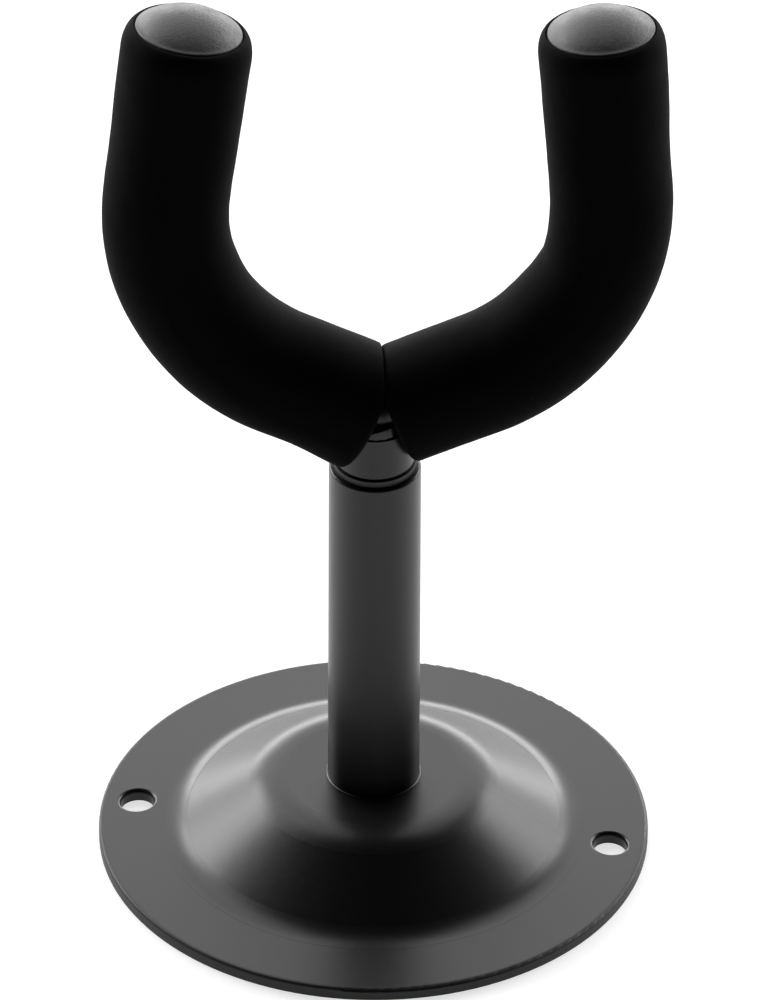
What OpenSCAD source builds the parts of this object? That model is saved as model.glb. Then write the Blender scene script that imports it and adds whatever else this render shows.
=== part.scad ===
// Wall hanger for a guitar: a stamped plate, a post tube and a padded fork that swivels in it.
// The back of the plate lies on the wall at z = 0, and +Z points out from the wall. The two
// screw holes lie on the X axis, and +Y is up the wall. Lengths are in millimetres.

/* [Wall plate] */
// Diameter of the plate
plate_d = 96; // [92:0.5:102]
// Thickness of the sheet, with its coating
plate_t = 2.2; // [1.6:0.1:2.6]
// Rounding of the plate's front edge
plate_edge_r = 0.6; // [0.3:0.1:0.8]
// Width of the ring under the rim that lies flat on the wall
seat_w = 2.5; // [1.5:0.5:4]
// Rise of the flange from the rim to the dome's foot
flange_rise = 0.6; // [0.2:0.1:1]
// Diameter of the dome where it leaves the flange
dome_d = 74.5; // [72:0.5:76]
// Height of the dome's flat top over the wall
plateau_z = 13.4; // [12.6:0.1:14]
// Diameter of the dome's flat top
plateau_d = 30.5; // [28:0.5:32]
// Slope of the dome's side
dome_slope = 33.5; // [32.5:0.5:36]
// Radius of the dome's upper shoulder
shoulder_r = 11.5; // [8:0.5:13]
// Distance between the two screw holes
hole_spacing = 83.5; // [82:0.5:85]
// Diameter of the screw holes
hole_d = 5.8; // [4:0.1:6.4]
// Rounding of the screw holes' front edges
hole_edge_r = 0.7; // [0.2:0.1:0.8]

/* [Post] */
// Outer diameter of the post tube
tube_d = 16; // [15.5:0.1:18]
// Wall of the post tube
tube_wall = 1.2; // [1:0.1:1.5]
// Distance of the tube's mouth from the wall
tube_reach = 80; // [60:1:120]
// Length of tube that stands out behind the dome
tube_tail = 2; // [1.5:0.1:2.3]
// Rounding of the tube's mouth
mouth_r = 0.5; // [0.3:0.1:0.6]
// Leg of the weld bead behind the dome
post_bead = 1.7; // [1:0.1:2.5]

/* [Swivel] */
// Chamfer of the turned pieces' edges
chamfer = 0.4; // [0.2:0.1:0.5]
// Diameter of the spindle's shaft
shaft_d = 10; // [9:0.1:10.6]
// Length of each bush inside the tube
bush_len = 12; // [8:1:20]
// Lip of the bush flange, the black ring, over the tube's wall
bush_lip = 0.35; // [0.25:0.05:0.6]
// Thickness of the bush flange
bush_flange_t = 1.2; // [1:0.1:1.4]
// Diameter of the spindle's collar
collar_d = 13.7; // [13:0.1:14.2]
// Height of the spindle's collar
collar_h = 8.7; // [8:0.1:10]
// Diameter of the retaining washer
washer_d = 18; // [16:0.5:20]
// Thickness of the retaining washer
washer_t = 1.6; // [1.2:0.1:1.8]
// Diameter of the spring washer
spring_washer_d = 11.8; // [11:0.1:12.4]
// Thickness of the spring washer
spring_washer_t = 1.5; // [1.2:0.1:1.6]
// Split of the spring washer
spring_split = 1; // [0.8:0.1:1.5]
// Radial gap between the screw and its washers
screw_play = 0.2; // [0.1:0.05:0.3]
// Diameter of the retaining screw
screw_d = 6; // [5:0.1:6.4]
// Length of the retaining screw under its head
screw_len = 16; // [12:1:25]
// Depth of the spindle's tapped hole past the screw's tip
tap_room = 2; // [1:0.5:5]
// Width across the flats of the screw's head
screw_flats = 10; // [9:0.1:11]
// Height of the screw's head
screw_head_h = 3.6; // [3:0.1:3.8]

/* [Fork] */
// Diameter of the fork rod
rod_d = 10; // [8:0.1:10.6]
// Slope of the V at the middle of the fork
vee_slope = 23.2; // [18:0.1:28]
// Length of each straight leg of the V
vee_leg = 18.5; // [14:0.5:22]
// Bend radius of the arms, at the rod's centre
bend_r = 35.3; // [30:0.1:40]
// Inward lean of the arms' tips
tip_lean = 5.3; // [0:0.1:8]
// Length of the arms' straight tips, to the caps' rims
tip_len = 31.9; // [25:0.1:45]
// Height of the V's centreline over the collar
vee_rise = 1.45; // [1:0.05:2.5]
// Tilt of the arms up the wall
fork_tilt = 7; // [0:0.5:10]
// Lean of the fork to its right arm, as welded
fork_lean = 2.1; // [-3:0.1:3]
// Offset of the V from the swivel axis, as welded
fork_shift = 1; // [-1.5:0.1:1.5]
// Turn of the fork from the line of the screw holes, at rest
fork_turn = 11.7; // [-90:0.1:90]
// Height of the weld over the collar's top
weld_h = 3.6; // [2:0.1:4.5]

/* [Foam sleeves] */
// Outer diameter of the sleeves
foam_d = 21.4; // [20.6:0.1:24]
// Growth of the sleeve's radius at the tip, over the cap's boss
foam_flare = 0.5; // [0:0.1:1]
// Rounding of the sleeve's edge around the cap
foam_edge_r = 2; // [1:0.1:2.4]
// Distance of the sleeve's square cut from the middle of the V
foam_start = 2.3; // [1.8:0.1:4]

/* [End caps] */
// Diameter of the caps
cap_d = 18.6; // [16.6:0.1:18.6]
// Rise of the cap's dome over its rim
cap_rise = 3.1; // [1.5:0.1:4]
// Height of the cap's rim
cap_rim = 1.2; // [0.8:0.1:2]
// Outer diameter of the cap's boss over the rod
boss_d = 13; // [12.4:0.1:15]
// Length of the cap's boss
boss_len = 7; // [4:0.5:12]

/* [Clearances] */
// Radial gap between a pressed or threaded pair
press_gap = 0.05; // [0.02:0.01:0.1]
// Radial gap between shaft and bush
running_gap = 0.06; // [0.03:0.01:0.1]
// Axial gap at the swivel's faces
face_gap = 0.1; // [0.05:0.01:0.2]
// Gap around the foam sleeves
foam_gap = 0.15; // [0.1:0.05:0.3]

/* [Hidden] */
$fn = 96;

COAT = [0.24, 0.24, 0.24];
FOAM = [0.05, 0.05, 0.05];
CAP = [0.38, 0.38, 0.38];
NYLON = [0.1, 0.1, 0.1];
ZINC = [0.7, 0.7, 0.72];

// Wall plate: the dome's side is a straight stretch between two arcs
flat_r = plate_d / 2 - plate_edge_r;
hole_x = hole_spacing / 2;
foot_z = plate_t + flange_rise;
flange_slope = atan2(flange_rise, flat_r - dome_d / 2);
dome_run = (dome_d - plateau_d) / 2;
arc_sum = (dome_run * tan(dome_slope) - plateau_z + foot_z) / (1 / cos(dome_slope) - 1);
foot_r = arc_sum - shoulder_r;
side_len = (dome_run - arc_sum * sin(dome_slope)) / cos(dome_slope);
foot_end = [
    dome_d / 2 - foot_r * sin(dome_slope),
    foot_z + foot_r * (1 - cos(dome_slope))
];

// Post and swivel, from the wall outwards
tube_bore = tube_d - 2 * tube_wall;
dome_back_z = plateau_z - plate_t;
tube_foot = dome_back_z - tube_tail;
lower_flange_z = tube_foot - bush_flange_t;
spindle_foot = lower_flange_z - face_gap;
washer_z = spindle_foot - washer_t;
spring_z = washer_z - spring_washer_t;
screw_tip = spring_z + screw_len;
screw_hole_end = screw_tip + tap_room;
collar_z = tube_reach + bush_flange_t + face_gap;
collar_top = collar_z + collar_h;
weld_r = collar_d / 2 - chamfer;

// A straight bar is a hair thinner than the bend next to it, and enters it by the lap
lap = 0.3;
hair = 0.05;

// The plate's flange and its dome's side enter the arcs between them by the lap too, and are
// thinner by the skin at each face
skin = 0.02;

// How far a cut runs past the faces it opens
overcut = 1;

// Fork: the V, the bend and the tip of an arm, in the fork's own plane
vee_z = collar_top + vee_rise;
bend_angle = 90 + tip_lean - vee_slope;
bend_start = vee_leg * [cos(vee_slope), 0, sin(vee_slope)];
bend_centre = bend_start + bend_r * [-sin(vee_slope), 0, cos(vee_slope)];
tip_start = bend_centre + bend_r * [cos(tip_lean), 0, sin(tip_lean)];
rod_end = tip_len - cap_rim;
foam_r = foam_d / 2;
foam_bore_r = rod_d / 2 + foam_gap;
boss_bore_r = boss_d / 2 + foam_gap;
foam_end_r = cap_d / 2 + foam_gap;
foam_tip_r = foam_r + foam_flare;
cap_ball_r = (pow(cap_d / 2, 2) + pow(cap_rise, 2)) / (2 * cap_rise);

// A stretch of ring between two angles, drawn flat
module ring_sector(r_out, r_in, from, to) {
    reach = 2 * r_out;
    middle = (from + to) / 2;
    intersection() {
        difference() {
            circle(r_out);
            circle(r_in);
        }
        polygon([
            [0, 0],
            reach * [cos(from), sin(from)],
            reach * [cos(middle), sin(middle)],
            reach * [cos(to), sin(to)]
        ]);
    }
}

// Half of the plate's section, from the axis to the rim
module plate_section() {
    polygon([
        [dome_d / 2, foot_z - skin],
        [dome_d / 2 - lap, foot_z - skin],
        [dome_d / 2 - lap, flange_rise + skin],
        [dome_d / 2, flange_rise + skin],
        [plate_d / 2 - seat_w, 0],
        [flat_r, 0],
        [flat_r, plate_t]
    ]);
    translate([flat_r, 0]) square([plate_edge_r, plate_t - plate_edge_r]);
    intersection() {
        translate([flat_r, plate_t - plate_edge_r]) circle(plate_edge_r);
        translate([flat_r, plate_t - plate_edge_r]) square(plate_edge_r);
    }
    translate([dome_d / 2, foot_z + foot_r])
        ring_sector(foot_r + plate_t, foot_r, -90 - dome_slope, -90);
    translate(foot_end) rotate(180 - dome_slope) translate([-lap, skin])
        square([side_len + 2 * lap, plate_t - 2 * skin]);
    translate([plateau_d / 2, plateau_z - shoulder_r])
        ring_sector(shoulder_r, shoulder_r - plate_t, 90 - dome_slope, 90);
    translate([tube_d / 2 + press_gap, dome_back_z])
        square([(plateau_d - tube_d) / 2 - press_gap, plate_t]);
}

// The screw hole at +X, its front edge rounded square to the sloping flange, to cut
module screw_hole() {
    round_z = plate_t + (flat_r - hole_x) * tan(flange_slope) - hole_edge_r;
    flare_r = hole_d / 2 + hair + hole_edge_r;
    translate([hole_x, 0, -overcut]) cylinder(d = hole_d, h = plate_t + 3 * overcut);
    translate([hole_x, 0, round_z]) rotate([0, flange_slope, 0]) rotate_extrude()
        difference() {
            square([flare_r, 2 * hole_edge_r]);
            translate([flare_r, 0]) circle(hole_edge_r);
        }
}

module base_plate() {
    color(COAT) difference() {
        rotate_extrude() plate_section();
        screw_hole();
        mirror([1, 0, 0]) screw_hole();
    }
}

module post_tube() {
    color(COAT) rotate_extrude() {
        translate([tube_bore / 2, tube_foot])
            square([tube_wall, tube_reach - mouth_r - tube_foot]);
        translate([tube_bore / 2, tube_foot])
            square([tube_wall - mouth_r, tube_reach - tube_foot]);
        intersection() {
            translate([tube_d / 2 - mouth_r, tube_reach - mouth_r]) circle(mouth_r);
            translate([tube_d / 2 - mouth_r, tube_reach - mouth_r]) square(mouth_r);
        }
    }
}

// Bead in the corner between the tube's tail and the back of the dome
module post_weld() {
    inner = tube_d / 2 + press_gap;
    color(COAT) rotate_extrude() polygon([
        [inner, dome_back_z],
        [inner + post_bead, dome_back_z],
        [inner, dome_back_z - post_bead]
    ]);
}

// Flanged bush, its flange below z = 0 and its sleeve above
module bush() {
    color(NYLON) rotate_extrude() {
        bore_r = shaft_d / 2 + running_gap;
        translate([bore_r, -bush_flange_t])
            square([tube_bore / 2 + bush_lip - bore_r, bush_flange_t]);
        translate([bore_r, 0])
            square([tube_bore / 2 - press_gap - bore_r, bush_len]);
    }
}

module lower_bush() {
    translate([0, 0, tube_foot]) bush();
}

module upper_bush() {
    translate([0, 0, tube_reach]) mirror([0, 0, 1]) bush();
}

// Shaft and collar in one turned piece, the collar saddled for the rod
module spindle() {
    color(COAT) difference() {
        rotate_extrude() polygon([
            [0, spindle_foot],
            [shaft_d / 2 - chamfer, spindle_foot],
            [shaft_d / 2, spindle_foot + chamfer],
            [shaft_d / 2, collar_z],
            [collar_d / 2 - chamfer, collar_z],
            [collar_d / 2, collar_z + chamfer],
            [collar_d / 2, collar_top - chamfer],
            [collar_d / 2 - chamfer, collar_top],
            [0, collar_top]
        ]);
        fork_place() fork_path(rod_d / 2 + press_gap);
        translate([0, 0, spindle_foot - overcut])
            cylinder(d = screw_d + 2 * press_gap, h = screw_hole_end - spindle_foot + overcut);
    }
}

module retaining_washer() {
    color(ZINC) translate([0, 0, washer_z]) difference() {
        cylinder(d = washer_d, h = washer_t);
        translate([0, 0, -overcut])
            cylinder(d = screw_d + 2 * screw_play, h = washer_t + 2 * overcut);
    }
}

module spring_washer() {
    color(ZINC) translate([0, 0, spring_z]) difference() {
        cylinder(d = spring_washer_d, h = spring_washer_t);
        translate([0, 0, -overcut])
            cylinder(d = screw_d + 2 * screw_play, h = spring_washer_t + 2 * overcut);
        translate([0, -spring_split / 2, -overcut])
            cube([spring_washer_d, spring_split, spring_washer_t + 2 * overcut]);
    }
}

module retaining_screw() {
    color(ZINC) {
        translate([0, 0, spring_z - screw_head_h])
            cylinder(d = screw_flats / cos(30), h = screw_head_h, $fn = 6);
        translate([0, 0, spring_z]) cylinder(d = screw_d, h = screw_len - chamfer);
        translate([0, 0, screw_tip - chamfer])
            cylinder(d1 = screw_d, d2 = screw_d - 2 * chamfer, h = chamfer);
    }
}

// Carries the fork's plane, drawn as X and Z, to its place on the spindle
module fork_place() {
    rotate([0, 0, fork_turn]) translate([fork_shift, 0, vee_z])
        rotate([-fork_tilt, 0, 0]) rotate([0, fork_lean, 0]) children();
}

// Stands +Z along the straight leg of the right arm's V
module along_vee() {
    rotate([0, 90 - vee_slope, 0]) children();
}

// Stands +Z along the straight tip of the right arm
module along_tip() {
    translate(tip_start) rotate([0, -tip_lean, 0]) children();
}

// The bend of the right arm, as a round bar
module bend_bar(r) {
    translate(bend_centre) rotate([90, 0, 0]) rotate([0, 0, vee_slope - 90])
        rotate_extrude(angle = bend_angle) translate([bend_r, 0]) circle(r);
}

// The right arm as a round bar, from the middle of the V to the cap
module arm_path(r, tip) {
    along_vee() cylinder(r = r - hair, h = vee_leg + lap);
    bend_bar(r);
    along_tip() translate([0, 0, -lap]) cylinder(r = r - hair, h = tip + lap);
}

// Both arms of the rod, mitred where they meet
module fork_path(r) {
    for (side = [0, 1]) mirror([side, 0, 0]) arm_path(r, rod_end);
    sphere(r - hair);
}

module fork_rod() {
    color(COAT) fork_place() fork_path(rod_d / 2);
}

// Weld metal on the collar, in front of the rod and behind it
module fork_weld() {
    color(COAT) difference() {
        translate([0, 0, collar_top])
            cylinder(r1 = weld_r, r2 = weld_r - chamfer, h = weld_h);
        fork_place() fork_path(rod_d / 2 + press_gap);
    }
}

// Outside of the right sleeve, drawn in the fork's plane
module foam_outside() {
    along_vee() translate([0, 0, foam_start])
        cylinder(r = foam_r - hair, h = vee_leg + lap - foam_start);
    bend_bar(foam_r);
    along_tip() rotate_extrude() {
        polygon([
            [0, -lap],
            [foam_r - hair, -lap],
            [foam_tip_r, tip_len - 2 * foam_edge_r],
            [foam_tip_r, tip_len - foam_edge_r - cap_rim / 2],
            [foam_tip_r - foam_edge_r, tip_len - cap_rim / 2],
            [0, tip_len - cap_rim / 2]
        ]);
        translate([foam_tip_r - foam_edge_r, tip_len - foam_edge_r - cap_rim / 2])
            circle(foam_edge_r);
    }
}

// Room in the sleeves for the collar and the weld on it, to cut
module collar_room() {
    translate([0, 0, collar_z - foam_gap])
        cylinder(r = collar_d / 2 + foam_gap, h = collar_h + 2 * foam_gap);
    translate([0, 0, collar_top]) cylinder(r = weld_r + foam_gap, h = weld_h + foam_gap);
}

// Right sleeve: its end at the V is cut square and pressed flat against the other sleeve
module foam_sleeve() {
    room = 2 * (vee_leg + bend_r);
    difference() {
        foam_outside();
        arm_path(foam_bore_r, rod_end);
        along_tip() translate([0, 0, rod_end - boss_len - foam_gap])
            cylinder(r = boss_bore_r, h = boss_len + foam_gap);
        along_tip() translate([0, 0, tip_len - cap_rim - foam_gap])
            cylinder(r = foam_end_r, h = foam_d);
        translate([foam_gap / 2 - room, -room / 2, -room / 2]) cube(room);
    }
}

module foam_sleeve_left() {
    color(FOAM) difference() {
        fork_place() mirror([1, 0, 0]) foam_sleeve();
        collar_room();
    }
}

module foam_sleeve_right() {
    color(FOAM) difference() {
        fork_place() foam_sleeve();
        collar_room();
    }
}

// Domed cap: its boss goes over the end of the rod
module end_cap() {
    color(CAP) along_tip() difference() {
        union() {
            intersection() {
                translate([0, 0, tip_len + cap_rise - cap_ball_r]) sphere(cap_ball_r);
                translate([0, 0, tip_len - chamfer])
                    cylinder(d = cap_d, h = cap_rise + chamfer + overcut);
            }
            translate([0, 0, tip_len - cap_rim]) cylinder(d = cap_d, h = cap_rim);
            translate([0, 0, rod_end - boss_len]) cylinder(d = boss_d, h = boss_len + chamfer);
        }
        translate([0, 0, rod_end - boss_len - overcut])
            cylinder(r = rod_d / 2 + press_gap, h = boss_len + overcut);
    }
}

module end_cap_left() {
    fork_place() mirror([1, 0, 0]) end_cap();
}

module end_cap_right() {
    fork_place() end_cap();
}

base_plate();
post_tube();
post_weld();
upper_bush();
lower_bush();
spindle();
retaining_washer();
spring_washer();
retaining_screw();
fork_rod();
fork_weld();
foam_sleeve_left();
foam_sleeve_right();
end_cap_left();
end_cap_right();
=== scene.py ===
"""Looks of a guitar wall hanger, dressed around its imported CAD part.

The wall plate, the post, the bushes, the spindle and the fork's rod are the CAD part's own
and get their finishes here. The foam sleeves, the end caps and the weld beads are modelled
anew, because their CAD solids are plain. Lengths of the object are in millimetres until a
piece is set down in the scene, which is in metres.
"""

from __future__ import annotations

import logging
import math
from dataclasses import dataclass, field
from enum import Enum
from functools import cached_property, partial
from typing import Callable, Sequence

import bpy
from mathutils import Matrix, Vector, noise

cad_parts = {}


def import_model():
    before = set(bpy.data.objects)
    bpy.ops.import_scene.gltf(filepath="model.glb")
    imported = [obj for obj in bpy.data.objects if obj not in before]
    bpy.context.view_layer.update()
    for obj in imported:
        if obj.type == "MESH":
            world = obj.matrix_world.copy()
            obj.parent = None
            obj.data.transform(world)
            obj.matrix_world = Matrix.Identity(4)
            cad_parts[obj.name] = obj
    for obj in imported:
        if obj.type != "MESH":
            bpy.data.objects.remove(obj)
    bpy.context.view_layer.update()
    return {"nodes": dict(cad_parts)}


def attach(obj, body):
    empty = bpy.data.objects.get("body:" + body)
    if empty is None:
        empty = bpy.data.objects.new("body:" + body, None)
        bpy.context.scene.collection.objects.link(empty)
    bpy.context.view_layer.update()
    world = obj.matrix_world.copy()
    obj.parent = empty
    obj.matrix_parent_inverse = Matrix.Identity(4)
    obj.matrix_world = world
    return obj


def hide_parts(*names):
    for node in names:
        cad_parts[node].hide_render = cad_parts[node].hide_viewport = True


log = logging.getLogger("hanger")

MM = 0.001
NOISE_LOW = 0.3  # most of a noise's values lie between these two
NOISE_HIGH = 0.7
TINY = 1e-6  # keeps a point on an axis from dividing by zero
FAR_FROM_PLANE = 20  # from here on the soft turn into a plane changes nothing

Point = tuple[float, float]
Shaper = Callable[[Vector], Vector]
Settings = dict[str | int, object]
Links = dict[str | int, bpy.types.NodeSocket]


class Body(str, Enum):
    """The bodies of the CAD part that a piece can ride on."""

    WALL_BASE = "wall_base"
    FORK = "fork"


class Slot(str, Enum):
    """The record's material slots."""

    POWDER_COAT = "powder_coat"
    BLACK_NYLON = "black_nylon"
    BLACK_FOAM = "black_foam"
    CAP_PLASTIC = "cap_plastic"
    ZINC_STEEL = "zinc_steel"


class Side(Enum):
    """An arm of the fork, with the sign of its X in the fork's own plane."""

    LEFT = -1
    RIGHT = 1


# ---------------------------------------------------------------------------
# Small tools
# ---------------------------------------------------------------------------


def linear(hex_colour: str) -> tuple[float, float, float, float]:
    """Turns an sRGB hex colour into linear RGBA.

    Args:
        hex_colour: Six hex digits, such as "1b1b1c".

    Returns:
        Red, green, blue and an alpha of 1, in linear light.
    """
    channels = []
    for start in (0, 2, 4):
        value = int(hex_colour[start : start + 2], 16) / 255
        channels.append(value / 12.92 if value <= 0.04045 else ((value + 0.055) / 1.055) ** 2.4)
    return (channels[0], channels[1], channels[2], 1.0)


def add_node(
    tree: bpy.types.NodeTree,
    kind: str,
    settings: Settings | None = None,
    links: Links | None = None,
) -> bpy.types.Node:
    """Adds one shader node with its settings and links.

    Args:
        tree: The node tree that gets it.
        kind: The node's type, such as "ShaderNodeTexNoise".
        settings: Values by property name, or by the name or number of an input.
        links: Output sockets by the name or number of the input that they feed.

    Returns:
        The new node.
    """
    made = tree.nodes.new(kind)
    for key, value in (settings or {}).items():
        if isinstance(key, str) and hasattr(made, key):
            setattr(made, key, value)
        else:
            made.inputs[key].default_value = value
    for key, socket in (links or {}).items():
        tree.links.new(socket, made.inputs[key])
    return made


def per_metre(size_mm: float) -> float:
    """The scale of a texture whose features are this many millimetres apart."""
    return 1 / (size_mm * MM)


def smooth_step(value: float, low: float, high: float) -> float:
    """Rises smoothly from 0 at low to 1 at high."""
    share = min(1.0, max(0.0, (value - low) / (high - low)))
    return share * share * (3 - 2 * share)


def arc(centre: Point, radii: Point, start: float, end: float, steps: int) -> list[Point]:
    """Points along an elliptic arc.

    Args:
        centre: The arc's centre.
        radii: Its two half axes.
        start: Its first angle, in degrees.
        end: Its last angle, in degrees.
        steps: How many stretches it has.

    Returns:
        The points, both ends included.
    """
    angles = [math.radians(start + (end - start) * i / steps) for i in range(steps + 1)]
    x, z = centre
    return [(x + radii[0] * math.cos(a), z + radii[1] * math.sin(a)) for a in angles]


def stretch(start: Point, end: Point, step: float) -> list[Point]:
    """Points along a straight line, both ends included, no further apart than step."""
    count = max(1, math.ceil(math.dist(start, end) / step))
    return [
        (start[0] + (end[0] - start[0]) * i / count, start[1] + (end[1] - start[1]) * i / count)
        for i in range(count + 1)
    ]


def turn_on_lathe(name: str, outline: Sequence[Point], segments: int) -> bpy.types.Object:
    """Turns a closed outline round the Z axis into a solid.

    Args:
        name: The piece's name.
        outline: Radius and height of each corner, in millimetres. An outline that touches the
            axis starts and ends there, and any other one is closed back to its start.
        segments: How many steps the full turn has.

    Returns:
        The turned piece, in millimetres round the Z axis.
    """
    corners = list(outline)
    if corners[0][0] > 0 or corners[-1][0] > 0:
        corners.append(corners[0])
    bpy.ops.object.select_all(action="DESELECT")
    bpy.ops.mesh.primitive_plane_add(size=1, location=(0, 0, 0))
    piece = bpy.context.object
    piece.name = name
    piece.data.name = name
    bpy.ops.object.mode_set(mode="EDIT")
    bpy.ops.mesh.select_all(action="SELECT")
    bpy.ops.mesh.merge(type="CENTER")
    bpy.ops.transform.translate(value=(corners[0][0], 0, corners[0][1]))
    for before, after in zip(corners, corners[1:]):
        step = (after[0] - before[0], 0, after[1] - before[1])
        bpy.ops.mesh.extrude_region_move(TRANSFORM_OT_translate={"value": step})
    bpy.ops.mesh.select_all(action="SELECT")
    bpy.ops.mesh.spin(steps=segments, angle=math.tau, center=(0, 0, 0), axis=(0, 0, 1))
    bpy.ops.mesh.select_all(action="SELECT")
    bpy.ops.mesh.remove_doubles(threshold=1e-4)
    bpy.ops.mesh.select_all(action="SELECT")
    bpy.ops.mesh.normals_make_consistent(inside=False)
    bpy.ops.object.mode_set(mode="OBJECT")
    return piece


def reshape(piece: bpy.types.Object, shaper: Shaper) -> None:
    """Moves every point of a mesh to where shaper says."""
    for vertex in piece.data.vertices:
        vertex.co = shaper(vertex.co.copy())
    piece.data.update()


def set_down(
    piece: bpy.types.Object,
    place: Matrix,
    body: Body,
    stands_for: Sequence[str],
    finish: bpy.types.Material,
    crease_deg: float = 40,
) -> None:
    """Puts a finished piece in its place, in metres, and hands it to its body.

    Args:
        piece: The piece, modelled in millimetres.
        place: Where it goes, in millimetres of the part's own frame.
        body: The CAD body that it rides on.
        stands_for: The CAD nodes that it replaces.
        finish: Its material.
        crease_deg: Edges sharper than this stay sharp.
    """
    piece.data.transform(Matrix.Scale(MM, 4) @ place)
    bpy.ops.object.select_all(action="DESELECT")
    piece.select_set(True)
    bpy.context.view_layer.objects.active = piece
    bpy.ops.object.mode_set(mode="EDIT")
    bpy.ops.mesh.select_all(action="SELECT")
    bpy.ops.mesh.normals_make_consistent(inside=False)
    bpy.ops.object.mode_set(mode="OBJECT")
    bpy.ops.object.shade_smooth_by_angle(angle=math.radians(crease_deg))
    piece.data.materials.clear()
    piece.data.materials.append(finish)
    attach(piece, body.value)
    if stands_for:
        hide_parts(*stands_for)
    log.info("%s: %d faces on body %s", piece.name, len(piece.data.polygons), body.value)


# ---------------------------------------------------------------------------
# Finishes
# ---------------------------------------------------------------------------


class Recipe:
    """A material while its nodes are being put together."""

    def __init__(self, name: str) -> None:
        """Starts an empty material.

        Args:
            name: The material's name.
        """
        self.made = bpy.data.materials.new(name)
        self.made.use_nodes = True
        self.tree = self.made.node_tree
        self.tree.nodes.clear()

    @cached_property
    def place(self) -> bpy.types.NodeSocket:
        """Where a point lies in the part's own frame, in metres."""
        return self.add("ShaderNodeTexCoord").outputs["Object"]

    def add(
        self,
        kind: str,
        settings: Settings | None = None,
        links: Links | None = None,
    ) -> bpy.types.Node:
        """Adds one node to the material, as add_node does."""
        return add_node(self.tree, kind, settings, links)

    def noise(self, size_mm: float, detail: float, roughness: float) -> bpy.types.Node:
        """Adds an even cloudy pattern.

        Args:
            size_mm: How far apart its clouds are.
            detail: How many finer layers it has.
            roughness: How strong each finer layer is beside the one before.

        Returns:
            The noise, with its outputs Fac and Color.
        """
        settings = {"Scale": per_metre(size_mm), "Detail": detail, "Roughness": roughness}
        return self.add("ShaderNodeTexNoise", settings, {"Vector": self.place})

    def bump(
        self,
        height: bpy.types.NodeSocket,
        depth_mm: float,
        over: bpy.types.NodeSocket | None = None,
    ) -> bpy.types.NodeSocket:
        """Makes a pattern stand out from the surface.

        Args:
            height: The pattern, from 0 at its foot to 1 at its top.
            depth_mm: How far its top stands over its foot.
            over: The normal of the surface under it, if another pattern lies there.

        Returns:
            The normal of the uneven surface.
        """
        links = {"Height": height}
        if over is not None:
            links["Normal"] = over
        settings = {"Strength": 1.0, "Distance": depth_mm * MM}
        return self.add("ShaderNodeBump", settings, links).outputs["Normal"]

    def around(
        self, pattern: bpy.types.NodeSocket, middle: float, spread: float
    ) -> bpy.types.NodeSocket:
        """Turns a noise into values that lie round a middle.

        Args:
            pattern: The noise.
            middle: The value where the noise is halfway.
            spread: How far the values go from the middle to either side.

        Returns:
            The values.
        """
        settings = {
            "From Min": NOISE_LOW,
            "From Max": NOISE_HIGH,
            "To Min": middle - spread,
            "To Max": middle + spread,
        }
        return self.add("ShaderNodeMapRange", settings, {"Value": pattern}).outputs["Result"]

    def blend(
        self, share: bpy.types.NodeSocket, first: str, second: str
    ) -> bpy.types.NodeSocket:
        """Mixes two colours.

        Args:
            share: How much of the second colour there is.
            first: The first colour, as six hex digits.
            second: The second colour, as six hex digits.

        Returns:
            The mixed colour.
        """
        settings = {"data_type": "RGBA", 6: linear(first), 7: linear(second)}
        return self.add("ShaderNodeMix", settings, {0: share}).outputs[2]

    def done(self, settings: Settings, links: Links) -> bpy.types.Material:
        """Ends the material with its one shader.

        Args:
            settings: The shader's even values.
            links: The shader's values that change over the surface.

        Returns:
            The finished material.
        """
        shader = self.add("ShaderNodeBsdfPrincipled", settings, links)
        self.add("ShaderNodeOutputMaterial", links={"Surface": shader.outputs["BSDF"]})
        return self.made


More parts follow.
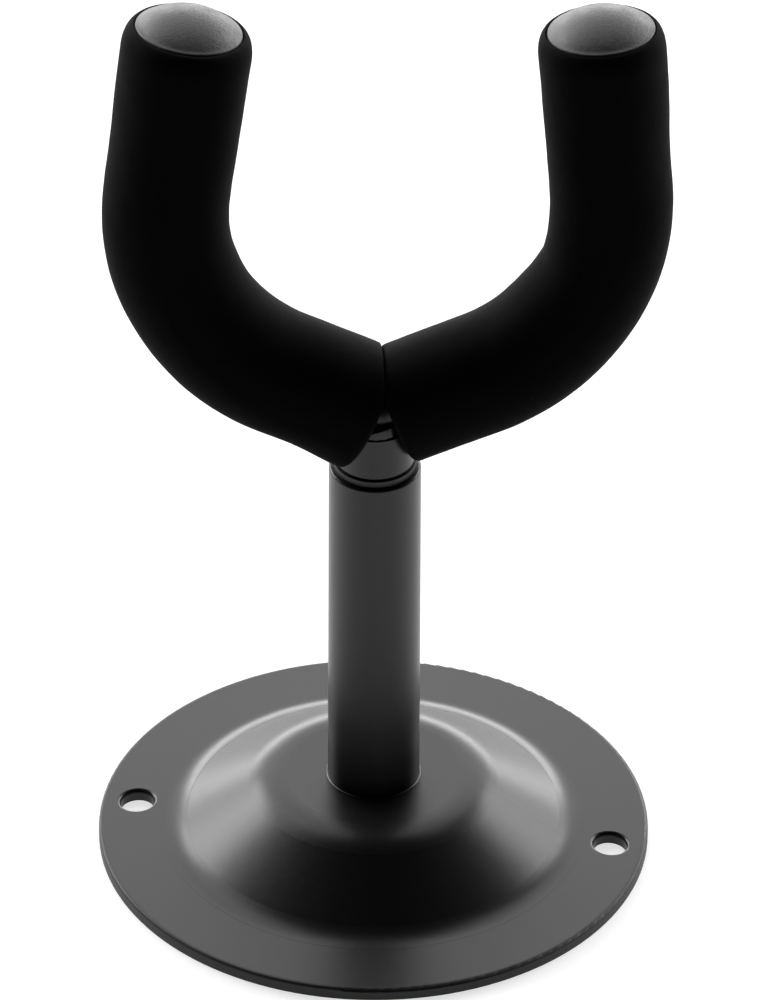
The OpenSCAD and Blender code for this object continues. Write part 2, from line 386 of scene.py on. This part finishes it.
@dataclass(frozen=True)
class PowderCoat:
    """Polyester powder coat on steel, sprayed and baked.

    To the eye it is a satin black that is nearly a mirror at a low angle, with a faint orange
    peel a millimetre or two across and a much finer grain. On the plate's rim, which the coat
    rounds off, it is duller.
    """

    name: str = "satin_powder_coat"
    colour: str = "0b0b0b"
    roughness: float = 0.32
    roughness_spread: float = 0.03
    ior: float = 1.42
    peel_mm: float = 2.4
    peel_depth_mm: float = 0.012
    grain_mm: float = 0.35
    grain_depth_mm: float = 0.003
    rim_from_mm: float = 47.1
    rim_to_mm: float = 47.4
    rim_round_mm: float = 0.35
    rim_rays: int = 6
    rim_dulling: float = 0.16

    def rim(self, mix: Recipe) -> bpy.types.NodeSocket:
        """Finds the plate's rim by its distance from the post's axis.

        Args:
            mix: The material that asks.

        Returns:
            A value that is 0 inside the rim and 1 on it.
        """
        flat = mix.add(
            "ShaderNodeVectorMath", {"operation": "MULTIPLY", 1: (1, 1, 0)}, {0: mix.place}
        )
        from_axis = mix.add(
            "ShaderNodeVectorMath", {"operation": "LENGTH"}, {0: flat.outputs["Vector"]}
        )
        return mix.add(
            "ShaderNodeMapRange",
            {"From Min": self.rim_from_mm * MM, "From Max": self.rim_to_mm * MM},
            {"Value": from_axis.outputs["Value"]},
        ).outputs["Result"]

    def material(self) -> bpy.types.Material:
        """Builds the material."""
        mix = Recipe(self.name)
        peel = mix.noise(self.peel_mm, detail=1.0, roughness=0.4).outputs["Fac"]
        grain = mix.noise(self.grain_mm, detail=2.0, roughness=0.6).outputs["Fac"]
        rim = self.rim(mix)
        as_it_is = mix.add("ShaderNodeNewGeometry").outputs["Normal"]
        rounded = mix.add(
            "ShaderNodeBevel", {"samples": self.rim_rays, "Radius": self.rim_round_mm * MM}
        ).outputs["Normal"]
        facing = mix.add(
            "ShaderNodeMix", {"data_type": "VECTOR"}, {0: rim, 4: as_it_is, 5: rounded}
        ).outputs[1]
        peeled = mix.bump(peel, self.peel_depth_mm, over=facing)
        roughness = mix.add(
            "ShaderNodeMath",
            {"operation": "MULTIPLY_ADD", 1: self.rim_dulling},
            {0: rim, 2: mix.around(grain, self.roughness, self.roughness_spread)},
        ).outputs["Value"]
        return mix.done(
            {"Base Color": linear(self.colour), "IOR": self.ior},
            {"Roughness": roughness, "Normal": mix.bump(grain, self.grain_depth_mm, over=peeled)},
        )


@dataclass(frozen=True)
class FoamSkin:
    """Closed-cell foam rubber tube with its moulded skin.

    To the eye it is a deep black without gloss, a little lighter where it turns away, with a
    fine pore texture, soft unevenness and a few specks of lint.
    """

    name: str = "foam_rubber_skin"
    colour: str = "040404"
    roughness: float = 0.75
    ior: float = 1.45
    specular_level: float = 0.045
    sheen: float = 0.01
    sheen_roughness: float = 0.45
    pore_mm: float = 0.5
    pore_depth_mm: float = 0.03
    dent_mm: float = 6.0
    dent_depth_mm: float = 0.12
    lint_colour: str = "6e6e6e"
    lint_gap_mm: float = 9.0
    lint_size: float = 0.028
    lint_core: float = 0.6
    lint_curl_mm: float = 2.5
    lint_curl_reach_mm: float = 1.2

    def lint(self, mix: Recipe) -> bpy.types.NodeSocket:
        """Scatters specks of lint, each curled out of its round shape.

        Args:
            mix: The material that gets them.

        Returns:
            A value that is 1 in the middle of a speck and 0 off it.
        """
        curl = mix.noise(self.lint_curl_mm, detail=1.0, roughness=0.5)
        reach = self.lint_curl_reach_mm * MM
        bent = mix.add(
            "ShaderNodeVectorMath",
            {"operation": "MULTIPLY_ADD", 1: (reach, reach, reach)},
            {0: curl.outputs["Color"], 2: mix.place},
        )
        cells = mix.add(
            "ShaderNodeTexVoronoi",
            {"Scale": per_metre(self.lint_gap_mm)},
            {"Vector": bent.outputs["Vector"]},
        )
        return mix.add(
            "ShaderNodeMapRange",
            {"From Min": self.lint_size, "From Max": self.lint_size * self.lint_core},
            {"Value": cells.outputs["Distance"]},
        ).outputs["Result"]

    def material(self) -> bpy.types.Material:
        """Builds the material."""
        mix = Recipe(self.name)
        pores = mix.noise(self.pore_mm, detail=3.0, roughness=0.65).outputs["Fac"]
        dents = mix.noise(self.dent_mm, detail=1.0, roughness=0.5).outputs["Fac"]
        dented = mix.bump(dents, self.dent_depth_mm)
        return mix.done(
            {
                "Roughness": self.roughness,
                "IOR": self.ior,
                "Specular IOR Level": self.specular_level,
                "Sheen Weight": self.sheen,
                "Sheen Roughness": self.sheen_roughness,
            },
            {
                "Base Color": mix.blend(self.lint(mix), self.colour, self.lint_colour),
                "Normal": mix.bump(pores, self.pore_depth_mm, over=dented),
            },
        )


@dataclass(frozen=True)
class MouldedPlastic:
    """Injection-moulded plastic with a spark-eroded grain.

    To the eye it is a soft black satin that looks grey where it faces the light, mottled by
    a grain of a few tenths of a millimetre.
    """

    name: str = "moulded_cap_plastic"
    colour: str = "1c1c1c"
    worn_colour: str = "424242"
    roughness: float = 0.5
    roughness_spread: float = 0.06
    ior: float = 1.48
    grain_mm: float = 0.6
    grain_depth_mm: float = 0.06
    cloud_mm: float = 2.4

    def material(self) -> bpy.types.Material:
        """Builds the material."""
        mix = Recipe(self.name)
        grain = mix.noise(self.grain_mm, detail=3.0, roughness=0.7).outputs["Fac"]
        clouds = mix.noise(self.cloud_mm, detail=2.0, roughness=0.5).outputs["Fac"]
        return mix.done(
            {"IOR": self.ior},
            {
                "Base Color": mix.blend(clouds, self.colour, self.worn_colour),
                "Roughness": mix.around(clouds, self.roughness, self.roughness_spread),
                "Normal": mix.bump(grain, self.grain_depth_mm),
            },
        )


@dataclass(frozen=True)
class ZincPlate:
    """Zinc-plated steel, clear passivated.

    To the eye it is a pale metal with the turned or rolled marks of the steel under it.
    """

    name: str = "zinc_plated_steel"
    colour: str = "b9bcc2"
    roughness: float = 0.32
    roughness_spread: float = 0.1
    mark_mm: float = 0.6
    mark_depth_mm: float = 0.006

    def material(self) -> bpy.types.Material:
        """Builds the material."""
        mix = Recipe(self.name)
        marks = mix.noise(self.mark_mm, detail=4.0, roughness=0.7).outputs["Fac"]
        return mix.done(
            {"Base Color": linear(self.colour), "Metallic": 1.0},
            {
                "Roughness": mix.around(marks, self.roughness, self.roughness_spread),
                "Normal": mix.bump(marks, self.mark_depth_mm),
            },
        )


@dataclass(frozen=True)
class StudioFloor:
    """White painted board under the hanger, shown white with the hanger's shadow kept."""

    name: str = "white_board"
    colour: str = "b4b4b4"
    roughness: float = 0.8
    glow: float = 0.7

    def material(self) -> bpy.types.Material:
        """Builds the material."""
        mix = Recipe(self.name)
        rays = mix.add("ShaderNodeLightPath").outputs
        seen = mix.add(
            "ShaderNodeMath",
            {"operation": "ADD", "use_clamp": True},
            {0: rays["Is Camera Ray"], 1: rays["Is Glossy Ray"]},
        )
        seen_at_all = mix.add(
            "ShaderNodeMath",
            {"operation": "ADD", "use_clamp": True},
            {0: seen.outputs["Value"], 1: rays["Is Transmission Ray"]},
        )
        strength = mix.add(
            "ShaderNodeMath",
            {"operation": "MULTIPLY", 1: self.glow},
            {0: seen_at_all.outputs["Value"]},
        )
        return mix.done(
            {
                "Base Color": linear(self.colour),
                "Roughness": self.roughness,
                "Specular IOR Level": 0.0,
                "Emission Color": (1, 1, 1, 1),
            },
            {"Emission Strength": strength.outputs["Value"]},
        )


# ---------------------------------------------------------------------------
# The fork's own geometry
# ---------------------------------------------------------------------------


@dataclass(frozen=True)
class ForkPlace:
    """Where the fork's plane, drawn as X and Z, sits on the spindle.

    Attributes:
        turn: How far the fork is turned about the post, in degrees.
        shift: How far its V lies off the post's axis.
        vee_z: Height of the rod's centreline in the V.
        tilt: How far it tips back or forth, in degrees.
        lean: How far it leans to its side, in degrees.
    """

    turn: float = 11.7
    shift: float = 1.0
    vee_z: float = 91.45
    tilt: float = 7.0
    lean: float = 2.1

    def matrix(self) -> Matrix:
        """The fork's place in the part's frame, in millimetres."""
        return (
            Matrix.Rotation(math.radians(self.turn), 4, "Z")
            @ Matrix.Translation((self.shift, 0, self.vee_z))
            @ Matrix.Rotation(math.radians(-self.tilt), 4, "X")
            @ Matrix.Rotation(math.radians(self.lean), 4, "Y")
        )


@dataclass(frozen=True)
class ArmLine:
    """Centreline of the right arm, from the middle of the V to the cap's rim.

    Attributes:
        vee_slope: Slope of the leg of the V, in degrees.
        vee_leg: Length of that leg.
        bend_r: Radius of the bend up to the tip.
        tip_lean: How far the tip leans inwards past upright, in degrees.
        tip_len: Length of the straight tip.
    """

    vee_slope: float = 23.2
    vee_leg: float = 18.5
    bend_r: float = 35.3
    tip_lean: float = 5.3
    tip_len: float = 31.9

    @property
    def bend_len(self) -> float:
        """Length of the bend."""
        return self.bend_r * math.radians(90 + self.tip_lean - self.vee_slope)

    @property
    def length(self) -> float:
        """Length of the whole line."""
        return self.vee_leg + self.bend_len + self.tip_len

    def at(self, along: float) -> tuple[Vector, Vector, Vector]:
        """Finds a place on the line.

        Args:
            along: Distance from the middle of the V.

        Returns:
            The point, the direction towards the tip and the direction of the bend's inner side.
        """
        bent = min(max(along - self.vee_leg, 0.0), self.bend_len)
        slope = math.radians(self.vee_slope)
        angle = slope + bent / self.bend_r
        point = Vector((math.cos(slope), 0, math.sin(slope))) * min(along, self.vee_leg)
        point += self.bend_r * Vector(
            (math.sin(angle) - math.sin(slope), 0, math.cos(slope) - math.cos(angle))
        )
        ahead = Vector((math.cos(angle), 0, math.sin(angle)))
        point += ahead * max(along - self.vee_leg - self.bend_len, 0.0)
        return point, ahead, Vector((-math.sin(angle), 0, math.cos(angle)))


@dataclass
class FoamSleeve:
    """A foam tube on one arm, cut square at the V and drawn in round the cap at the tip.

    Attributes:
        start: Where its cut end stands, from the middle of the V.
        flare: How much wider the tip is than the rest.
        lip_below_rim: How far its lip stays behind the end of the rod's line.
        middle_gap: Its gap to the plane in which the two sleeves meet.
        squash: How softly the foam turns into that plane.
        sag: How far its lower side hangs at the V.
        sag_focus: How closely the sag keeps to the lowest side.
        crease_at: Where along the arm its inner side is creased.
        crease_edge: How sharp the crease is.
        crease_focus: How closely the crease keeps to the inner side.
        uneven: How far its skin strays from the even tube.
        slow_wave: How quickly that unevenness changes along the skin, per millimetre.
        fast_wave: How quickly the finer unevenness on top of it changes.
    """

    side: Side
    finish: bpy.types.Material
    radius: float
    line: ArmLine = field(default_factory=ArmLine)
    place: ForkPlace = field(default_factory=ForkPlace)
    bore_r: float = 5.15
    start: float = 2.3
    cut_edge: float = 1.3
    flare: float = 0.5
    flare_len: float = 24.0
    lip_draw: float = 4.2
    lip_below_rim: float = 0.42
    cap_rim: float = 1.2
    cap_seat_gap: float = 0.15
    cap_hole_r: float = 9.45
    boss_hole_r: float = 6.65
    boss_hole_len: float = 7.15
    middle_gap: float = 0.09
    squash: float = 0.3
    sag: float = 0.0
    sag_from: float = 2.0
    sag_len: float = 14.0
    sag_focus: float = 1.5
    crease_at: float = 0.0
    crease_depth: float = 0.0
    crease_reach: float = 11.0
    crease_edge: float = 1.6
    crease_focus: float = 3.0
    uneven: float = 0.14
    slow_wave: float = 0.09
    fast_wave: float = 0.31
    fast_share: float = 0.3
    skin_from: float = 0.5
    skin_depth: float = 1.0
    step: float = 0.8
    hidden_step: float = 2.5
    end_step: float = 1.2
    edge_steps: int = 5
    lip_steps: int = 12
    lip_turn: float = 84.0
    lip_drop: float = 0.15
    segments: int = 96

    def outline(self) -> list[Point]:
        """The wall's section as radius and distance along the arm."""
        tip = self.line.length - self.lip_below_rim
        seat = self.line.length - self.cap_rim - self.cap_seat_gap
        boss = seat - self.boss_hole_len + self.cap_seat_gap
        tip_r = self.radius + self.flare
        lip_w = tip_r - self.cap_hole_r
        lip_start = tip - self.lip_draw
        edge = self.cut_edge
        corner = self.radius - edge
        points = stretch((self.bore_r, boss), (self.bore_r, self.start), self.hidden_step)
        points += stretch((self.bore_r, self.start), (corner, self.start), self.end_step)[1:]
        points += arc((corner, self.start + edge), (edge, edge), -90, 0, self.edge_steps)[1:]
        flare_start = lip_start - self.flare_len
        body_start = (self.radius, self.start + edge)
        points += stretch(body_start, (self.radius, flare_start), self.step)[1:]
        points += [
            (self.radius + self.flare * smooth_step(s, flare_start, lip_start), s)
            for _, s in stretch((0, flare_start), (0, lip_start), self.step)[1:]
        ]
        lip = (lip_w, self.lip_draw)
        points += arc((self.cap_hole_r, lip_start), lip, 0, self.lip_turn, self.lip_steps)[1:]
        points.append((self.cap_hole_r, tip - self.lip_drop))
        points += [(self.cap_hole_r, seat), (self.boss_hole_r, seat), (self.boss_hole_r, boss)]
        return points

    def shape(self, spot: Vector) -> Vector:
        """Carries a point of the straight tube to its place on the bent arm.

        Args:
            spot: A point of the tube, which stands on its V end.

        Returns:
            The point in the fork's plane.
        """
        along = spot.z
        out = math.hypot(spot.x, spot.y)
        across = spot.x / out
        toward = spot.y / out
        skin = smooth_step(out, self.bore_r + self.skin_from, self.radius - self.skin_depth)
        slow = noise.noise(Vector((spot.x, spot.y, along)) * self.slow_wave + self.seed())
        fast = noise.noise(Vector((spot.x, spot.y, along)) * self.fast_wave - self.seed())
        grow = self.uneven * slow
        grow += self.fast_share * self.uneven * fast
        hang = 1 - smooth_step(along, self.sag_from, self.sag_len)
        grow += self.sag * max(0.0, -across) ** self.sag_focus * hang
        fold = max(0.0, 1 - abs(along - self.crease_at) / self.crease_reach)
        inside = max(0.0, across) ** self.crease_focus
        grow -= self.crease_depth * fold**self.crease_edge * inside
        out += grow * skin
        point, _, inner = self.line.at(along)
        point = point + inner * (across * out) + Vector((0, toward * out, 0))
        over = (point.x - self.middle_gap) / self.squash
        if over < FAR_FROM_PLANE:
            point.x = self.middle_gap + self.squash * math.log1p(math.exp(over))
        return point

    def seed(self) -> Vector:
        """An offset that makes the two sleeves uneven in different places."""
        return Vector((17.0, 5.0, 9.0)) * self.side.value

    def build(self) -> None:
        word = self.side.name.lower()
        piece = turn_on_lathe(f"foam_cover_{word}", self.outline(), self.segments)
        reshape(piece, self.shape)
        mirror = Matrix.Diagonal((self.side.value, 1, 1, 1))
        set_down(
            piece,
            self.place.matrix() @ mirror,
            Body.FORK,
            [f"foam_sleeve_{word}"],
            self.finish,
            crease_deg=60,
        )


@dataclass
class EndCap:
    """A domed cap whose boss goes over the end of the rod.

    Attributes:
        rise: Height of the dome over the end of the rod's line.
        edge_drop: How far under that end the dome's edge lies.
        rim: How far under that end the cap's flat foot lies.
        lip: How far the bead at its foot stands out.
    """

    side: Side
    finish: bpy.types.Material
    line: ArmLine = field(default_factory=ArmLine)
    place: ForkPlace = field(default_factory=ForkPlace)
    radius: float = 9.3
    rise: float = 3.1
    edge_drop: float = 0.12
    rim: float = 1.2
    shoulder: float = 0.45
    lip: float = 0.12
    lip_root: float = 0.3
    lip_top: float = 0.2
    lip_foot: float = 0.05
    boss_r: float = 6.5
    boss_bevel: float = 0.3
    bore_r: float = 5.05
    boss_len: float = 7.0
    dome_steps: int = 22
    shoulder_steps: int = 5
    segments: int = 96

    def outline(self) -> list[Point]:
        """The cap's section as radius and height over its rim."""
        crown = self.radius - self.shoulder
        low = -self.edge_drop
        high = self.rise - low
        ball = (crown**2 + high**2) / (2 * high)
        side = math.degrees(math.asin((ball - high) / ball))
        points = arc((0, self.rise - ball), (ball, ball), 90, side, self.dome_steps)
        turn = (self.shoulder, self.shoulder)
        points += arc((crown, low - self.shoulder), turn, 60, 0, self.shoulder_steps)
        foot = -self.rim
        boss_foot = foot - self.boss_len
        points += [
            (self.radius, foot + self.lip_root),
            (self.radius + self.lip, foot + self.lip_top),
            (self.radius + self.lip, foot + self.lip_foot),
            (self.radius, foot),
            (self.boss_r, foot),
            (self.boss_r, boss_foot + self.boss_bevel),
            (self.boss_r - self.boss_bevel, boss_foot),
            (self.bore_r, boss_foot),
            (self.bore_r, foot),
            (0.0, foot),
        ]
        return points

    def build(self) -> None:
        """Models the cap and dresses it."""
        word = self.side.name.lower()
        piece = turn_on_lathe(f"cap_shell_{word}", self.outline(), self.segments)
        end, ahead, inner = self.line.at(self.line.length)
        axes = Matrix((inner, Vector((0, -1, 0)), ahead)).transposed()
        stand = Matrix.Translation(end) @ axes.to_4x4()
        mirror = Matrix.Diagonal((self.side.value, 1, 1, 1))
        set_down(
            piece,
            self.place.matrix() @ mirror @ stand,
            Body.FORK,
            [f"end_cap_{word}"],
            self.finish,
        )


@dataclass
class ForkWeld:
    """Two beads of weld on the collar, in front of the rod and behind it, coated over.

    Attributes:
        ring_r: How far the middle of a bead's section lies from the collar's axis.
        boxy: Power that makes the section round at 1 and square towards 0.
        slant: How much the bead's top climbs along its length.
        sweep_deg: How far a bead goes round the collar.
        end_power: How bluntly a bead ends.
    """

    finish: bpy.types.Material
    place: ForkPlace = field(default_factory=ForkPlace)
    ring_r: float = 5.55
    middle_z: float = 90.3
    half_width: float = 1.05
    half_height: float = 1.3
    boxy: float = 0.3
    slant: float = 0.3
    slant_from: float = 0.6
    sweep_deg: float = 112.0
    end_power: float = 0.45
    ripple_mm: float = 1.3
    ripple: float = 0.025
    segments: int = 32
    stations: int = 90

    @property
    def sweep(self) -> float:
        """How far a bead goes round the collar, in radians."""
        return math.radians(self.sweep_deg)

    def outline(self) -> list[Point]:
        """Radius of a bead of unit thickness along its length, drawn in at both ends."""
        length = self.sweep * self.ring_r
        points = [(0.0, 0.0)]
        for i in range(1, self.stations):
            share = i / self.stations
            full = math.sin(math.pi * share) ** self.end_power
            wave = 1 + self.ripple * math.cos(math.tau * share * length / self.ripple_mm)
            points.append((full * wave, share))
        points.append((0.0, 1.0))
        return points

    def shape(self, facing: float, spot: Vector) -> Vector:
        """Bends the straight bead round the collar.

        Args:
            facing: The direction that the middle of the bead faces, in degrees.
            spot: A point of the straight bead, which stands on its end.

        Returns:
            The point round the collar's axis.
        """
        round_by = self.sweep * (spot.z - 0.5)
        angle = math.radians(facing) + round_by
        size = max(math.hypot(spot.x, spot.y), TINY)
        across = math.copysign(abs(spot.x / size) ** self.boxy, spot.x) * size
        above = math.copysign(abs(spot.y / size) ** self.boxy, spot.y) * size
        out = self.ring_r + across * self.half_width
        up = self.middle_z + above * self.half_height
        top = smooth_step(above, -self.slant_from, self.slant_from)
        up += self.slant * round_by * self.ring_r * top
        return Vector((out * math.cos(angle), out * math.sin(angle), up))

    def build(self) -> None:
        """Models both beads as one piece and dresses it."""
        beads = []
        for facing in (-90.0, 90.0):
            bead = turn_on_lathe("fork_weld_bead", self.outline(), self.segments)
            reshape(bead, partial(self.shape, facing))
            beads.append(bead)
        bpy.ops.object.select_all(action="DESELECT")
        for bead in beads:
            bead.select_set(True)
        bpy.context.view_layer.objects.active = beads[0]
        bpy.ops.object.join()
        turn = Matrix.Rotation(math.radians(self.place.turn), 4, "Z")
        set_down(
            beads[0], turn, Body.FORK, ["fork_weld"], self.finish, crease_deg=75
        )


@dataclass
class PostRing:
    """A bead round the post: the weld behind the dome, or the coat in its front corner."""

    name: str
    finish: bpy.types.Material
    middle: Point
    section_r: float
    ripple: float
    ripples: int
    stands_for: Sequence[str] = ()
    lump_wave: float = 0.35
    section_steps: int = 16
    segments: int = 160

    def shape(self, spot: Vector) -> Vector:
        """Gives the even ring its ripples.

        Args:
            spot: A point of the ring.

        Returns:
            The point, moved away from or towards the middle of the section.
        """
        out = math.hypot(spot.x, spot.y)
        angle = math.atan2(spot.y, spot.x)
        wave = 1 + self.ripple * math.cos(self.ripples * angle)
        wave += self.ripple * noise.noise(Vector((spot.x, spot.y, 0.0)) * self.lump_wave)
        far = self.middle[0] + (out - self.middle[0]) * wave
        high = self.middle[1] + (spot.z - self.middle[1]) * wave
        return Vector((far * math.cos(angle), far * math.sin(angle), high))

    def build(self) -> None:
        """Models the bead and dresses it."""
        radii = (self.section_r, self.section_r)
        outline = arc(self.middle, radii, 0, 360, self.section_steps)[:-1]
        piece = turn_on_lathe(self.name, outline, self.segments)
        reshape(piece, self.shape)
        set_down(
            piece,
            Matrix.Identity(4),
            Body.WALL_BASE,
            self.stands_for,
            self.finish,
            crease_deg=75,
        )


@dataclass
class CadPieces:
    """The pieces that come from the CAD part as they are and only get a finish."""

    nodes: dict[str, bpy.types.Object]
    finishes: dict[str, bpy.types.Material]

    def dress(self) -> None:
        """Puts each piece's finish on it."""
        for name, finish in self.finishes.items():
            piece = self.nodes[name]
            piece.data.materials.clear()
            piece.data.materials.append(finish)
            log.info("%s: finish %s", name, finish.name)


# ---------------------------------------------------------------------------
# Studio
# ---------------------------------------------------------------------------


@dataclass(frozen=True)
class SoftBox:
    """A soft lamp that faces the hanger.

    Attributes:
        azimuth: Its direction in degrees, from the camera's side towards the camera's right.
        elevation: Its height over the floor, in degrees.
        distance: How far it hangs from what it faces, in metres, as its width and height are.
        radiance: How bright its face is, where 1 is the white of the floor.
    """

    name: str
    azimuth: float
    elevation: float
    distance: float
    width: float
    height: float
    radiance: float

    def build(self, aim: Vector, camera_azimuth: float) -> bpy.types.Object:
        """Hangs the lamp.

        Args:
            aim: The point that it faces.
            camera_azimuth: The camera's own azimuth, from which the lamp's is counted.

        Returns:
            The lamp.
        """
        a = math.radians(self.azimuth + camera_azimuth)
        e = math.radians(self.elevation)
        out = Vector((math.sin(a) * math.cos(e), -math.cos(a) * math.cos(e), math.sin(e)))
        data = bpy.data.lights.new(self.name, "AREA")
        data.shape = "RECTANGLE"
        data.size = self.width
        data.size_y = self.height
        data.energy = self.radiance * math.pi * self.width * self.height
        lamp = bpy.data.objects.new(self.name, data)
        bpy.context.scene.collection.objects.link(lamp)
        lamp.location = aim + out * self.distance
        lamp.rotation_mode = "QUATERNION"
        lamp.rotation_quaternion = out.to_track_quat("Z", "Y")
        lamp.visible_camera = False
        return lamp


@dataclass(frozen=True)
class PhotoCamera:
    """The camera of the photograph, looking down at the hanger as it stands on its plate.

    Attributes:
        sight: The point that the camera's place is counted from.
        aim_right: How far to the right of that point it looks.
        aim_up: How far above that point it looks.
        clip: The nearest and the farthest distance that it sees.
    """

    azimuth: float = 8.2
    elevation: float = 36.23
    roll: float = 0.24
    distance: float = 4.0
    lens: float = 832.9
    sensor: float = 36.0
    sight: tuple[float, float, float] = (0.0, 0.0, 0.08)
    aim_right: float = 0.00185
    aim_up: float = -0.006215
    clip: tuple[float, float] = (0.1, 60.0)

    def build(self) -> bpy.types.Object:
        """Sets the camera up and makes it the scene's own."""
        a = math.radians(self.azimuth)
        e = math.radians(self.elevation)
        back = Vector((math.sin(a) * math.cos(e), -math.cos(a) * math.cos(e), math.sin(e)))
        right = Vector((math.cos(a), math.sin(a), 0))
        up = back.cross(right)
        place = Vector(self.sight) + back * self.distance
        aim = Vector(self.sight) + right * self.aim_right + up * self.aim_up
        back = (place - aim).normalized()
        right = up.cross(back).normalized()
        up = back.cross(right)
        roll = math.radians(self.roll)
        turned_right = right * math.cos(roll) + up * math.sin(roll)
        turned_up = up * math.cos(roll) - right * math.sin(roll)
        data = bpy.data.cameras.new("photo_camera")
        data.lens = self.lens
        data.sensor_width = self.sensor
        data.clip_start, data.clip_end = self.clip
        camera = bpy.data.objects.new("photo_camera", data)
        bpy.context.scene.collection.objects.link(camera)
        turn = Matrix((turned_right, turned_up, back)).transposed().to_4x4()
        camera.matrix_world = Matrix.Translation(place) @ turn
        bpy.context.scene.camera = camera
        return camera


@dataclass
class Studio:
    """Floor, lamps, world and camera."""

    camera: PhotoCamera = field(default_factory=PhotoCamera)
    floor_size: float = 24.0
    floor_drop: float = 0.0002
    world_grey: float = 0.02
    aim: tuple[float, float, float] = (0.0, 0.0, 0.06)
    lamps: tuple[SoftBox, ...] = (
        SoftBox("back_lowest", 180, 6, 1.6, 2.2, 0.36, 8.9),
        SoftBox("back_low", 180, 20, 1.6, 1.9, 0.42, 0.94),
        SoftBox("back_middle", 180, 35, 1.6, 1.7, 0.42, 2.8),
        SoftBox("back_high", 180, 50, 1.6, 1.5, 0.45, 2.25),
        SoftBox("overhead", 180, 68, 1.6, 1.3, 0.5, 1.7),
        SoftBox("right_back_low", 125, 8, 1.6, 1.0, 0.45, 5.6),
        SoftBox("right_back_high", 128, 28, 1.6, 0.9, 0.5, 7.9),
        SoftBox("left_back_low", 235, 8, 1.6, 1.0, 0.45, 6.5),
        SoftBox("left_back_high", 232, 28, 1.6, 0.9, 0.5, 11.3),
        SoftBox("left_back_top", 232, 50, 1.6, 0.8, 0.5, 2.3),
    )

    def floor(self) -> None:
        """Lays the floor, which isn't part of the object."""
        bpy.ops.object.select_all(action="DESELECT")
        bpy.ops.mesh.primitive_plane_add(size=self.floor_size, location=(0, 0, -self.floor_drop))
        board = bpy.context.object
        board.name = "studio_floor"
        board.data.materials.append(StudioFloor().material())

    def world(self) -> None:
        """Sets the even dim light that comes from all round."""
        world = bpy.data.worlds.new("studio_world")
        world.use_nodes = True
        tree = world.node_tree
        tree.nodes.clear()
        grey = self.world_grey
        settings = {"Color": (grey, grey, grey, 1), "Strength": 1.0}
        sky = add_node(tree, "ShaderNodeBackground", settings)
        add_node(tree, "ShaderNodeOutputWorld", links={"Surface": sky.outputs["Background"]})
        bpy.context.scene.world = world

    def build(self) -> None:
        """Sets up the whole studio."""
        self.camera.build()
        self.floor()
        self.world()
        for lamp in self.lamps:
            lamp.build(Vector(self.aim), self.camera.azimuth)
        bpy.context.scene.view_settings.view_transform = "Standard"
        log.info("studio: %d lamps", len(self.lamps))


# ---------------------------------------------------------------------------
# The hanger
# ---------------------------------------------------------------------------


def main() -> None:
    """Builds the hanger's looks and the studio round it."""
    logging.basicConfig(level=logging.INFO, format="%(name)s %(message)s")
    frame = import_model()

    Studio().build()

    coat = PowderCoat().material()
    foam = FoamSkin().material()
    cap = MouldedPlastic().material()
    nylon = MouldedPlastic(name="moulded_nylon", colour="0c0c0c", worn_colour="101010").material()
    zinc = ZincPlate().material()

    CadPieces(
        frame["nodes"],
        {
            "base_plate": coat,
            "post_tube": coat,
            "post_weld": coat,
            "spindle": coat,
            "fork_rod": coat,
            "fork_weld": coat,
            "upper_bush": nylon,
            "lower_bush": nylon,
            "retaining_washer": zinc,
            "spring_washer": zinc,
            "retaining_screw": zinc,
            "foam_sleeve_left": foam,
            "foam_sleeve_right": foam,
            "end_cap_left": cap,
            "end_cap_right": cap,
        },
    ).dress()

    FoamSleeve(Side.LEFT, foam, radius=10.95, flare=0.4, sag=0.9).build()
    FoamSleeve(Side.RIGHT, foam, radius=10.6, flare=0.45, crease_at=47.0, crease_depth=0.7).build()
    EndCap(Side.LEFT, cap).build()
    EndCap(Side.RIGHT, cap).build()
    ForkWeld(coat).build()
    PostRing("post_weld_bead", coat, (8.75, 10.5), 0.9, 0.06, 44, ["post_weld"]).build()
    PostRing("post_foot_coat", coat, (8.0, 13.4), 0.32, 0.05, 7).build()


if __name__ == "__main__":
    main()
